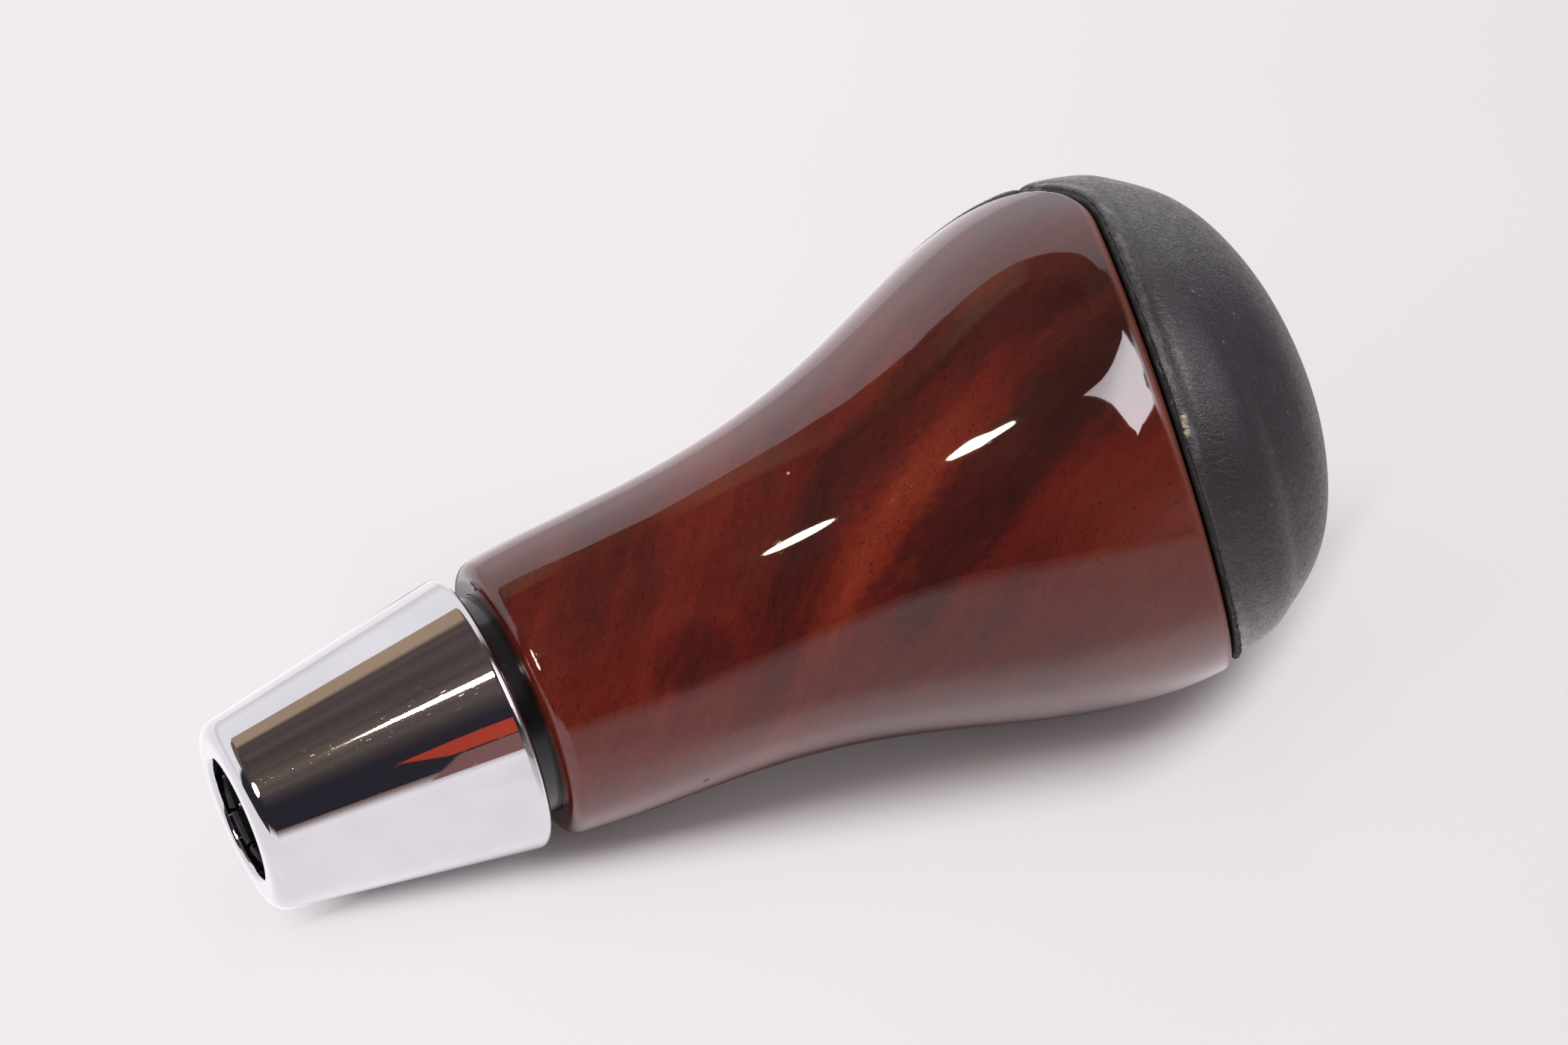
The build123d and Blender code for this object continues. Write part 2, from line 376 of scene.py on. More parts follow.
# Colours of the figure, from dark to pale, and of what lies on it
WALNUT_STOPS = ((0.0, (0.032, 0.0072, 0.0060)), (0.22, (0.057, 0.0094, 0.0070)),
                (0.45, (0.100, 0.0122, 0.0077)), (0.70, (0.143, 0.0180, 0.0092)),
                (1.0, (0.200, 0.0290, 0.0130)))
WALNUT_WARM = (0.132, 0.0250, 0.0115)
FLECK_DARK = (0.018, 0.0048, 0.0038)
PORE_DARK = (0.013, 0.0042, 0.0036)
FINE_PORE_DARK = (0.020, 0.0052, 0.0042)
RIM_PALE = (0.190, 0.036, 0.013)
NICK_DARK = (0.012, 0.0050, 0.0042)
CHIP_PALE = (0.42, 0.36, 0.33)


def make_walnut():
    material, f = new_finish("lacquered_walnut")
    spot = f.spot()
    rear, up_lever = [part * MM for part in f.parts(spot)[1:]]
    across = f.along(spot, VIEW_ACROSS) * MM
    deep = f.along(spot, VIEW_SIDE) * MM
    seen = f.fade(deep, *SEEN_DEEP)
    ways = (up_lever, across, deep)

    rise = up_lever - FLAME_Z
    above = rise.most(0.0)
    below = rise.least(0.0)
    middle = rise * FLAME_SLOPE + FLAME_ACROSS - above * above * FLAME_BEND + below * FLAME_FOOT
    sway = f.noise(f.stretched(ways, (0.07, 0.07, 0.05))) - 0.5
    ruffle = f.noise(f.stretched(ways, (0.34, 0.34, 0.20)), 1.0, 4.0, 0.62) - 0.5
    fray = f.noise(f.stretched(ways, (0.55, 1.5, 0.8)), 1.0, 4.0, 0.7) - 0.5
    off = across - middle + sway * 3.4 + ruffle * 2.4 + fray * 2.6

    grown = (up_lever, off, deep)
    bands = f.noise(f.stretched(grown, (0.030, 0.14, 0.05)), 1.0, 4.0, 0.62)
    strands = f.noise(f.stretched(grown, (0.10, 0.85, 0.22)), 1.0, 4.0, 0.65)
    flecks = f.noise(f.stretched(grown, (0.9, 2.8, 1.6)), 1.0, 3.0, 0.68)
    flame = f.fade(off.abs(), *FLAME_OFF) * f.fade(up_lever, *FLAME_TOP)
    flame = flame * (0.45 + f.fade(up_lever, *FLAME_LOW) * 0.55)
    streak_above = off - STREAK_ABOVE + (up_lever - STREAK_ABOVE_Z) * STREAK_CLOSE
    streak_below = off - STREAK_BELOW + (up_lever - STREAK_BELOW_Z).most(0.0) * STREAK_OPEN
    shade_above = f.fade(streak_above.abs(), *ABOVE_OFF) * f.fade(up_lever, *ABOVE_UP)
    shade_below = f.fade(streak_below.abs(), *BELOW_OFF) * f.fade(up_lever, *BELOW_UP)
    shade_top = f.fade(up_lever, *TOP_UP) * f.fade(across, *TOP_ACROSS)
    cloud_up = (up_lever - CLOUD_Z) / CLOUD_TALL
    cloud_out = (across - CLOUD_ACROSS) / CLOUD_WIDE
    shade_cloud = f.fade(cloud_up * cloud_up + cloud_out * cloud_out + ruffle * 1.6, 2.2, 0.3)
    shade_foot = f.fade(up_lever, *FOOT_UP) * f.fade(across, *FOOT_ACROSS)
    warmth = f.fade(up_lever, *WARM_UP) * f.fade(across, *WARM_ACROSS)
    warmth_foot = f.fade(up_lever, *WARM_FOOT_UP) * f.fade(across, *WARM_FOOT_ACROSS)

    figure = 0.43 + warmth * 0.16 + warmth_foot * 0.17 + (bands - 0.5) * 0.95 + (strands - 0.5) * 0.50
    figure = figure + (flecks - 0.5) * 0.34 - (shade_cloud * 0.30 + shade_foot * 0.08) * seen
    figure = figure + (flame * 0.42 - shade_above * 0.26 - shade_below * 0.30 - shade_top * 0.14) * seen
    colour = f.ramp(figure, WALNUT_STOPS)
    colour = f.mix(f.fade(flecks, 0.40, 0.28) * 0.45, colour, FLECK_DARK)
    colour = f.mix(warmth * seen * 0.40, colour, WALNUT_WARM)
    pores = f.cells(f.stretched(grown, (0.8, 2.1, 1.5)))
    fine_pores = f.cells(f.stretched(grown, (1.9, 4.4, 3.2)))
    colour = f.mix(f.fade(pores, 0.20, 0.10) * 0.66, colour, PORE_DARK)
    colour = f.mix(f.fade(fine_pores, 0.28, 0.14) * 0.50, colour, FINE_PORE_DARK)

    to_joint = (JOINT_Z * MM + rear * JOINT_SLOPE - up_lever) * cos(JOINT_TILT)
    rim = f.fade(to_joint, *RIM_OFF) * f.fade(rear, *RIM_FRONT)
    nick = marks(f, spot, NICKS, NICK_R)
    chip = marks(f, spot, CHIPS, CHIP_R)
    colour = f.mix(rim * 0.55, colour, RIM_PALE)
    colour = f.mix(nick, colour, NICK_DARK)
    colour = f.mix(chip, colour, CHIP_PALE)
    swirl = f.noise(f.stretched(ways, (0.25, 0.25, 0.25)))
    wiped = (up_lever * 2.0 + across, across * 4.0 - up_lever, deep)
    hairline = f.fade(f.noise(f.stretched(wiped, (0.05, 1.5, 5.0)), 1.0, 1.0), 0.71, 0.78)
    rough = 0.03 + hairline * 0.08 + rim * 0.42 + (nick + chip).least(1.0) * 0.5
    height = swirl * 0.5 - hairline * 0.03 - nick * 6.0
    f.output(f.principled(Base_Color=colour, Roughness=rough, IOR=1.57,
                          Normal=f.bump(height, 0.00002, 0.3)))
    return material


# Chrome

CHROME_DIM = (0.560, 0.556, 0.575)
CHROME_CLEAR = (0.600, 0.596, 0.612)


def make_chrome():
    material, f = new_finish("bright_chrome")
    spot = f.spot()
    ways = f.parts(spot)
    plate = f.noise(spot, 90.0, 3.0, 0.6)
    scuff = f.fade(f.noise(f.stretched(ways, (900.0, 900.0, 140.0)), 1.0, 2.0, 0.7), 0.68, 0.80)
    hairline = f.fade(f.noise(f.stretched(ways, (5200.0, 5200.0, 90.0)), 1.0, 2.0, 0.6), 0.64, 0.72)
    colour = f.mix(f.fade(plate, 0.35, 0.7), CHROME_DIM, CHROME_CLEAR)
    rough = 0.02 + scuff * 0.09 + hairline * 0.12 + plate * 0.015
    f.output(f.principled(Base_Color=colour, Metallic=1.0, Roughness=rough,
                          Normal=f.bump(plate * 0.6 - scuff * 0.25, 0.00002, 0.25)))
    return material


# Leather

# A worn patch on the rolled edge, in millimetres
WORN_AT = ((-9.8, -21.0, 91.15), (-9.1, -21.3, 90.95), (-8.5, -21.5, 90.75))
WORN_R = 1.0
# The crest of the edge, lighter with rubbed wear and a painted highlight, and the crease behind it, darker
# as painted shade, in millimetres from the edge
CREST_OFF = 1.2
CREASE_LINE_OFF = 2.1
# The way the hide's grain runs
GRAIN_RUN = Vector((0.35, -0.55, 0.76))
GRAIN_ACROSS = Vector((-0.88, 0.10, 0.47))

HIDE_DARK = (0.0125, 0.0085, 0.0140)
HIDE_PALE = (0.0215, 0.0160, 0.0235)
GRAIN_DARK = (0.0062, 0.0042, 0.0070)
# Rubbed wear, which along the edge's crest is also a painted highlight
RUB_AND_HIGHLIGHT_GREY = (0.130, 0.122, 0.126)
SPECK_PALE = (0.20, 0.185, 0.170)
# Painted shade in the crease behind the edge
CREASE_PAINTED_SHADE = (0.0095, 0.0084, 0.0094)
# Painted shade for the groove where the leather meets the wood
GROOVE_PAINTED_SHADE = (0.0030, 0.0026, 0.0026)
WORN_TAN = (0.44, 0.345, 0.225)


def make_leather():
    material, f = new_finish("black_leather")
    spot = f.spot()
    edge = f.node("ShaderNodeAttribute", {"attribute_name": "edge_mm"}, out="Fac")
    stirred = f.push(spot, 900.0, 0.00035)
    ways = [f.along(stirred, way) for way in (GRAIN_RUN, GRAIN_ACROSS, GRAIN_RUN.cross(GRAIN_ACROSS))]
    broad = f.noise(spot, 55.0, 3.0, 0.55)
    patchy = f.fade(f.noise(spot, 140.0, 3.0, 0.6), 0.30, 0.70)
    grain = f.cells(f.stretched(ways, (3000.0, 5200.0, 4000.0)))
    pebble = f.cells(stirred, 2100.0)
    wrinkle = f.noise(f.stretched(ways, (560.0, 2100.0, 1200.0)), 1.0, 4.0, 0.66)
    lines = f.cells(f.stretched(ways, (800.0, 1500.0, 1100.0)), 1.0, "DISTANCE_TO_EDGE")
    crest = f.fade((edge - CREST_OFF).abs(), 0.75, 0.1)
    rubbed_and_highlight = f.fade(f.noise(spot, 330.0, 4.0, 0.65) + crest * 0.13, 0.58, 0.78)
    specks = f.fade(f.cells(spot, 330.0), 0.085, 0.045)
    worn = marks(f, spot, WORN_AT, WORN_R)

    colour = f.mix(f.fade(broad, 0.3, 0.72), HIDE_DARK, HIDE_PALE)
    colour = f.mix(f.fade(grain, 0.30, 0.62) * 0.35, colour, GRAIN_DARK)
    # Lighter grey for rubbed wear, and along the crest a painted highlight
    colour = f.mix(rubbed_and_highlight * (0.22 + crest * 0.35), colour, RUB_AND_HIGHLIGHT_GREY)
    colour = f.mix(specks * 0.5, colour, SPECK_PALE)
    # Painted shade along the crease line
    colour = f.mix(f.fade((edge - CREASE_LINE_OFF).abs(), 0.6, 0.0) * 0.45, colour, CREASE_PAINTED_SHADE)
    # Painted shade: nearly black in the groove along the wood's edge
    colour = f.mix(f.fade(edge, 0.75, 0.30), colour, GROOVE_PAINTED_SHADE)
    colour = f.mix(worn, colour, WORN_TAN)
    rough = 0.32 + broad * 0.10 + f.fade(grain, 0.3, 0.6) * 0.14 - rubbed_and_highlight * 0.05
    rough = rough + f.fade(edge, 0.9, 0.3) * 0.4
    gloss = f.fade(wrinkle - grain * 0.35 + patchy * 0.05, 0.22, 0.52)
    height = grain * (0.55 + patchy * 0.45) + pebble * 0.4 + wrinkle * 0.9
    height = height + f.fade(lines, 0.0, 0.10) * 0.35 - worn * 0.8
    f.output(f.principled(Base_Color=colour, Roughness=rough, IOR=1.6,
                          Coat_Weight=gloss * 0.34 + 0.16, Coat_Roughness=0.31,
                          Normal=f.bump(height, 0.00007, 0.72)))
    return material


# Mouldings, spring wire and foam

BLACK_DARK = (0.006, 0.006, 0.0065)
BLACK_PALE = (0.013, 0.013, 0.0135)
GREY_DARK = (0.016, 0.016, 0.0165)
GREY_PALE = (0.030, 0.030, 0.031)
MOULDING_RUB = 2.4
WIRE_OILED = (0.36, 0.355, 0.35)
WIRE_BRIGHT = (0.58, 0.58, 0.585)
# Painted shade for the hollows of the foam's cells
FOAM_HOLLOW_SHADE = (0.085, 0.085, 0.088)
FOAM_PALE = (0.21, 0.21, 0.212)


def make_moulding(name, dark, pale, rough, grit):
    material, f = new_finish(name)
    spot = f.spot()
    flow = f.noise(spot, 120.0, 3.0, 0.55)
    fine = f.noise(spot, 2600.0, 2.0, 0.6)
    rub = f.fade(f.noise(spot, 420.0, 4.0, 0.65), 0.60, 0.78)
    colour = f.mix(f.fade(flow, 0.3, 0.7), dark, pale)
    colour = f.mix(rub * 0.25, colour, tuple(c * MOULDING_RUB for c in pale))
    f.output(f.principled(Base_Color=colour, Roughness=rough + rub * 0.18 + flow * 0.05,
                          Normal=f.bump(fine * 0.7 + flow * 0.6, 0.00004, grit)))
    return material


def make_spring_steel():
    material, f = new_finish("drawn_spring_wire")
    spot = f.spot()
    drawn = f.noise(f.stretched(f.parts(spot), (400.0, 400.0, 5200.0)), 1.0, 3.0, 0.6)
    oil = f.noise(spot, 700.0, 3.0, 0.6)
    colour = f.mix(f.fade(oil, 0.35, 0.7), WIRE_OILED, WIRE_BRIGHT)
    f.output(f.principled(Base_Color=colour, Metallic=1.0, Roughness=0.24 + drawn * 0.16,
                          Normal=f.bump(drawn, 0.00002, 0.4)))
    return material


def make_foam():
    material, f = new_finish("open_foam")
    spot = f.spot()
    cells = f.cells(spot, 1900.0)
    fine_cells = f.cells(spot, 4600.0)
    hollow = f.fade(cells, 0.15, 0.62)
    # Painted shade: darker in the hollows of the cells, paler on the walls between them
    colour = f.mix(hollow, FOAM_HOLLOW_SHADE, FOAM_PALE)
    f.output(f.principled(Base_Color=colour, Roughness=0.86 + hollow * 0.1,
                          Normal=f.bump(cells * 0.9 + fine_cells * 0.4, 0.0004, 0.8)))
    return material


finishes = {
    "walnut": make_walnut(),
    "chrome": make_chrome(),
    "black_leather": make_leather(),
    "black_moulding": make_moulding("black_moulding", BLACK_DARK, BLACK_PALE, rough=0.14, grit=0.15),
    "grey_moulding": make_moulding("grey_moulding", GREY_DARK, GREY_PALE, rough=0.42, grit=0.35),
    "spring_steel": make_spring_steel(),
    "foam": make_foam(),
}
for subpart in frame["record"]["subparts"]:
    slots = nodes[subpart["node"]].data.materials
    slots.clear()
    slots.append(finishes[subpart["material_slot"]])

# Leather cover and rear panel: swelled, creased and rolled at their edges, in metres

LEATHER_VOXEL = 0.00036
ROLL_R = 0.0011
ROLL_SHARE = 0.8
RIDGE_OFF = 0.0012
RIDGE_W = 0.0005
RIDGE_H = 0.00006
CREASE_OFF = 0.0021
CREASE_W = 0.0005
CREASE_DEPTH = 0.00020
# The crease's depth varies round the head: share, waves in a turn and where they start
CREASE_WAVES = ((0.25, 5, 0.7), (0.15, 11, 2.1), (0.10, 23, 0.4))
CREASE_LOST_LOW = 0.7
SWELL_FROM = 0.0030
SWELL_FULL = 0.0075
SWELL_H = 0.00022
TUCK_REACH = 0.0048
TUCK_ALL = 0.00018
TUCK_LOW = 0.00075
# The side of the head that lies nearest the table: there the leather is drawn in under the wood's edge
LOW_SIDE = np.array((-VIEW_ACROSS.x, -VIEW_ACROSS.y))
LOW_FROM = 0.72
# Only the outer skin is shaped: its faces look outwards from the joint's middle, with the dome taken flatter
DOME_SHARE = 0.6
SKIN_SHARP = 2.0
FAR = 1.0
SAME_POINT = 1e-6


def eased(value, start, end):
    """0 at start, 1 at end, eased."""
    share = np.clip((value - start) / (end - start), 0.0, 1.0)
    return share * share * (3.0 - 2.0 * share)


def bell(off, width):
    """1 on a line, falling away to both sides."""
    return np.exp(-(off / width) ** 2)


def rounded(before, corner, after, radius, steps=10):
    """The points of an arc that rounds a corner of a line."""
    a, b, c = (Vector(p) for p in (before, corner, after))
    u, v = (a - b).normalized(), (c - b).normalized()
    half = u.angle(v) / 2
    middle = b + (u + v).normalized() * (radius / sin(half))
    first = b + u * (radius / tan(half)) - middle
    last = b + v * (radius / tan(half)) - middle
    sweep = first.angle_signed(last)
    return [middle + Matrix.Rotation(-sweep * i / steps, 2) @ first for i in range(steps + 1)]


def joint_line():
    """The edge of the wood in the side view, y and z."""
    front = (-JOINT_REACH, JOINT_Z - JOINT_SLOPE * JOINT_REACH)
    bend = (BEND_Y, JOINT_Z + JOINT_SLOPE * BEND_Y)
    end = (END_Y, END_Z)
    rear = (JOINT_REACH, END_Z)
    points = [Vector(front)]
    points += rounded(front, bend, end, BEND_ROUND)
    points += rounded(bend, end, rear, END_ROUND)
    points.append(Vector(rear))
    return np.array([tuple(p) for p in points])


def line_distance(points, line):
    """The shortest distance from each point to a line of short runs."""
    best = np.full(len(points), FAR)
    for a, b in zip(line[:-1], line[1:]):
        run = b - a
        share = np.clip(((points - a) @ run) / (run @ run), 0.0, 1.0)
        best = np.minimum(best, np.linalg.norm(points - a - share[:, None] * run, axis=1))
    return best


def merged_copy(name, piece_name):
    """A new piece from a CAD node's mesh, with its loose triangles joined."""
    mesh = bpy.data.meshes.new(piece_name)
    work = bmesh.new()
    work.from_mesh(nodes[name].data)
    bmesh.ops.remove_doubles(work, verts=work.verts, dist=SAME_POINT)
    work.to_mesh(mesh)
    work.free()
    piece = bpy.data.objects.new(piece_name, mesh)
    scene.collection.objects.link(piece)
    return piece


def evened(piece, voxel):
    """Remeshes a piece into small faces of one size."""
    remesh = piece.modifiers.new("even", "REMESH")
    remesh.mode = "VOXEL"
    remesh.voxel_size = voxel
    bpy.context.view_layer.update()
    seen = piece.evaluated_get(bpy.context.evaluated_depsgraph_get())
    mesh = bpy.data.meshes.new_from_object(seen)
    piece.modifiers.clear()
    piece.data = mesh


def smoothed(piece, rounds):
    work = bmesh.new()
    work.from_mesh(piece.data)
    for turn in range(rounds):
        bmesh.ops.smooth_vert(work, verts=work.verts, factor=0.5, use_axis_x=True, use_axis_y=True,
                              use_axis_z=True)
    work.to_mesh(piece.data)
    work.free()


def leather_forms(spots, normals):
    """How far each point of the leather moves outwards, and its distance from the edge or seam."""
    edge = line_distance(spots[:, 1:], joint_line()) - GROOVE
    seam = np.where(spots[:, 1] > 0, abs(spots[:, 2] - SEAM_Z) - SEAM_GAP / 2, FAR)
    near = np.minimum(edge, seam)
    flat = spots[:, :2] - np.array((0.0, HEAD_SHIFT))
    out = np.concatenate([flat, (spots[:, 2:] - JOINT_Z) * DOME_SHARE], axis=1)
    facing = (normals * out).sum(1) / np.linalg.norm(out, axis=1)
    skin = np.clip(facing * SKIN_SHARP, 0.0, 1.0)
    low = eased(flat @ LOW_SIDE / np.linalg.norm(flat, axis=1), LOW_FROM, 1.0)
    turn = np.arctan2(flat[:, 1], flat[:, 0])
    wave = sum(share * np.sin(count * turn + start) for share, count, start in CREASE_WAVES)
    depth = np.clip(1.0 - near / ROLL_R, 0.0, 1.0)
    roll = ROLL_R * ROLL_SHARE * (1.0 - np.sqrt(1.0 - depth ** 2))
    crease = CREASE_DEPTH * (1.0 + wave) * (1.0 - CREASE_LOST_LOW * low) * bell(edge - CREASE_OFF, CREASE_W)
    ridge = RIDGE_H * bell(edge - RIDGE_OFF, RIDGE_W)
    swell = SWELL_H * eased(near, SWELL_FROM, SWELL_FULL)
    tuck = (TUCK_ALL + TUCK_LOW * low) * bell(np.maximum(edge, 0.0), TUCK_REACH)
    return (ridge + swell - roll - crease - tuck) * skin, near


def leather_piece(name, piece_name):
    piece = merged_copy(name, piece_name)
    evened(piece, LEATHER_VOXEL)
    smoothed(piece, rounds=3)
    mesh = piece.data
    spots = np.zeros(len(mesh.vertices) * 3)
    mesh.vertices.foreach_get("co", spots)
    spots = spots.reshape(-1, 3)
    normals = np.array([v.normal for v in mesh.vertices])
    moved, near = leather_forms(spots, normals)
    spots += normals * moved[:, None]
    mesh.vertices.foreach_set("co", spots.ravel())
    mesh.update()
    smoothed(piece, rounds=2)
    marked = mesh.attributes.new("edge_mm", "FLOAT", "POINT")
    marked.data.foreach_set("value", np.maximum(near, 0.0) * MM)
    for face in mesh.polygons:
        face.use_smooth = True
    mesh.materials.clear()
    mesh.materials.append(finishes["black_leather"])
    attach(piece, "knob")
    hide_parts(name)


leather_piece("top_leather", "leather_cap")
leather_piece("rear_leather", "leather_panel")

# Spring: the coil copied with a mesh of its own; the real spring shortens as the collar lifts

spring = merged_copy("collar_spring", "spring_coil")
spring.data.materials.clear()
spring.data.materials.append(finishes["spring_steel"])
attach(spring, "knob")
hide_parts("collar_spring")
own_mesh(spring)

# Studio: table, cards, lamps and the room that the gloss shows; places are metres on the set


def card(name, corners, material):
    """A card on the set, from its corners."""
    mesh = bpy.data.meshes.new(name)
    work = bmesh.new()
    work.faces.new([work.verts.new(on_set(*corner)) for corner in corners])
    work.to_mesh(mesh)
    work.free()
    mesh.materials.append(material)
    made = bpy.data.objects.new(name, mesh)
    scene.collection.objects.link(made)
    return made


def gloss_card(name, corners, material):
    """A card that shows in the gloss alone."""
    made = card(name, corners, material)
    made.visible_camera = False
    made.visible_shadow = False
    made.visible_diffuse = False


PAPER = (0.885, 0.843, 0.858)
# Painted shade: the table's glow for the camera is darker towards the right
PAPER_SHADED_RIGHT = (0.80, 0.757, 0.768)
PAPER_TURNS = (0.02, 0.16)
TABLE_DIM = (0.790, 0.758, 0.768)
TABLE_CLEAR = (0.825, 0.793, 0.802)
TABLE_DIRT = (0.30, 0.265, 0.26)
TABLE_LEFT = -1.6
TABLE_RIGHT = 0.222
TABLE_BACK = -1.8
TABLE_FRONT = 0.75
TABLE_LIFT = 0.82
TABLE_SHEEN = 0.9

# The shadow at the foot of the knob, partly painted by a mask on the table's glow: its edge on the table
# runs back from the collar to the head
SHADOW_START = (0.0106, 0.0018)
SHADOW_BACK = 0.30
SHADOW_SOFT = 0.003
SHADOW_SOFTER = 0.09
SHADOW_END = 0.078
SHADOW_CLOSE = 45.0
SHADOW_REAR = (-0.048, -0.075)
SHADOW_LEFT = (0.010, 0.0)
# Where its edge starts and ends, in widths of its softness: as the camera sees it, and as the gloss does
SHADOW_SEEN = (-0.55, 0.78)
SHADOW_IN_GLOSS = (-0.8, 0.58)


def clear_of_knob(f, spot, start, end):
    """1 where the table lies open, 0 in the painted shadow at the knob's foot; then the way ahead of its
    edge.
    """
    right = f.along(spot, RIGHT)
    front = f.along(spot, FRONT)
    line = front - SHADOW_START[1] + (right - SHADOW_START[0]) * SHADOW_BACK
    past = (right - SHADOW_END).most(0.0)
    soft = right.most(0.0) * SHADOW_SOFTER + SHADOW_SOFT
    ahead = f.fade((line + past * past * SHADOW_CLOSE) / soft, start, end)
    behind = f.fade(front, *SHADOW_REAR)
    left = f.fade(right, *SHADOW_LEFT)
    return ahead.most(behind).most(left), line


# What the gloss of the knob sees of the table, a painted reflection in the table's glow: bright beside the
# collar, dimmer in the lee of the head, a painted shadow at its foot
SHEEN_NEAR = (1.27, 1.21, 1.27)
SHEEN_LEE = (0.78, 0.74, 0.77)
SHEEN_END = (0.66, 0.62, 0.66)
SHEEN_EDGE = (0.34, 0.315, 0.34)
SHEEN_FOOT_SHADOW = (0.07, 0.055, 0.06)
LEE_RIGHT = (0.034, 0.062)
LEE_LINE = (0.012, 0.024)
LEE_OPEN = 0.3
LEE_OPEN_FROM = 0.05
END_RIGHT = (0.096, 0.120)
EDGE_RIGHT = (0.13, 0.22)


def sheen(f, spot):
    clear, line = clear_of_knob(f, spot, *SHADOW_IN_GLOSS)
    right = f.along(spot, RIGHT)
    ahead = (f.along(spot, FRONT) - LEE_OPEN_FROM).most(0.0)
    lee = f.fade(right - ahead * LEE_OPEN, *LEE_RIGHT) * f.fade(line, *LEE_LINE)
    open_sheen = f.mix(lee, SHEEN_NEAR, SHEEN_LEE)
    open_sheen = f.mix(f.fade(right, *END_RIGHT), open_sheen, SHEEN_END)
    open_sheen = f.mix(f.fade(right, *EDGE_RIGHT), open_sheen, SHEEN_EDGE)
    return f.mix(clear, SHEEN_FOOT_SHADOW, open_sheen)


def make_table_finish():
    material, f = new_finish("white_table")
    spot = f.spot()
    cloud = f.noise(spot, 14.0, 3.0, 0.5)
    dirt = f.fade(f.cells(spot, 24.0), 0.020, 0.010) * f.fade(f.noise(spot, 900.0, 3.0, 0.7), 0.42, 0.60)
    colour = f.mix(f.fade(cloud, 0.3, 0.7), TABLE_DIM, TABLE_CLEAR)
    colour = f.mix(dirt * 0.7, colour, TABLE_DIRT)
    matt = f.principled(Base_Color=colour, Roughness=0.16 + cloud * 0.1, IOR=1.42)
    # Painted shade: the glow darkens towards the right
    paper = f.mix(f.fade(f.along(spot, RIGHT), *PAPER_TURNS), PAPER, PAPER_SHADED_RIGHT)
    paper = f.mix(dirt * 0.7, paper, TABLE_DIRT)
    glossy = f.ray("Is Glossy Ray").most(f.ray("Is Transmission Ray"))
    # The table glows: white for the camera, and for the gloss the painted reflection of sheen()
    lift = f.glow(f.mix(glossy, paper, sheen(f, spot)))
    open_share = clear_of_knob(f, spot, *SHADOW_SEEN)[0] * TABLE_LIFT
    share = (f.ray("Is Camera Ray") * open_share).most(glossy * TABLE_SHEEN)
    under = f.node("ShaderNodeNewGeometry", out="Backfacing")
    clear = f.node("ShaderNodeBsdfTransparent")
    f.output(f.blend(under, f.blend(share, matt, lift), clear))
    return material


card("table", ((TABLE_LEFT, 0.0, TABLE_FRONT), (TABLE_RIGHT, 0.0, TABLE_FRONT),
               (TABLE_RIGHT, 0.0, TABLE_BACK), (TABLE_LEFT, 0.0, TABLE_BACK)), make_table_finish())

# A card in front, seen only in the gloss, glows as a painted reflection and closes the white that the gloss
# shows below: its top edge rises from the right end
CARD_RIGHT = (0.193, 0.007)
CARD_LEFT = (-0.200, 0.738)
CARD_H = 0.169
CARD_TOP = (0.27, 0.175, 0.155)


def make_card_finish():
    material, f = new_finish("card_white")
    spot = f.spot()
    run = Vector(CARD_LEFT) - Vector(CARD_RIGHT)
    from_right = f.along(spot, RIGHT) - CARD_RIGHT[0]
    from_back = f.along(spot, FRONT) - CARD_RIGHT[1]
    top = (from_right * run.x + from_back * run.y) * (CARD_H / run.length_squared)
    height = (f.along(spot, UP) - TABLE_LEVEL) / top
    # Painted reflection: the card glows with the table's sheen at its foot, fading to a dim brown towards
    # its top
    f.output(f.glow(f.mix(f.fade(height, 1.0, 0.15), CARD_TOP, sheen(f, spot))))
    return material


gloss_card("front_card", ((CARD_LEFT[0], CARD_H, CARD_LEFT[1]), (CARD_RIGHT[0], 0.0, CARD_RIGHT[1]),
                          (CARD_LEFT[0], 0.0, CARD_LEFT[1])), make_card_finish())

# Things of the room that show on the right half of the collar: cards that glow in the gloss alone, as
# painted reflections
RED_THING = ((0.0304, 0.0891, 0.1365), (0.0362, 0.0927, 0.1338), (0.0425, 0.0928, 0.1330),
             (0.0600, 0.0935, 0.1300), (0.0720, 0.0640, 0.1410), (0.0532, 0.0640, 0.1435),
             (0.0455, 0.0655, 0.1440))
RED = (0.60, 0.075, 0.042)
BROWN_THING = ((0.0482, 0.0615, 0.1455), (0.0720, 0.0630, 0.1410),
               (0.0780, 0.0250, 0.1476), (0.0549, 0.0250, 0.1497))
BROWN = (0.30, 0.150, 0.140)


def make_thing_finish(name, colour):
    material, f = new_finish(name)
    f.output(f.glow(colour))
    return material


gloss_card("red_thing", RED_THING, make_thing_finish("thing_red", RED))
gloss_card("brown_thing", BROWN_THING, make_thing_finish("thing_brown", BROWN))

# The window that shows on the head, beside the joint: each corner, and two points that its side bends to
WINDOW_SIDES = (((0.126, 0.293, -0.007), (0.119, 0.284, 0.054), (0.131, 0.281, 0.052)),
                ((0.106, 0.264, 0.096), (0.134, 0.253, 0.108), (0.151, 0.233, 0.135)),
                ((0.181, 0.191, 0.156), (0.195, 0.229, 0.114), (0.163, 0.277, 0.074)))
WINDOW_STEPS = 8
WINDOW_EDGE = (6.2, 5.6, 5.9)
WINDOW_FULL = (11.0, 10.5, 11.0)
WINDOW_RIGHT = (0.105, 0.150)


def window_outline():
    """The window's corners and the points of its bent sides."""
    points = []
    for i, (corner, leave, arrive) in enumerate(WINDOW_SIDES):
        following = WINDOW_SIDES[(i + 1) % len(WINDOW_SIDES)][0]
        points += interpolate_bezier(corner, leave, arrive, following, WINDOW_STEPS)[:-1]
    return points


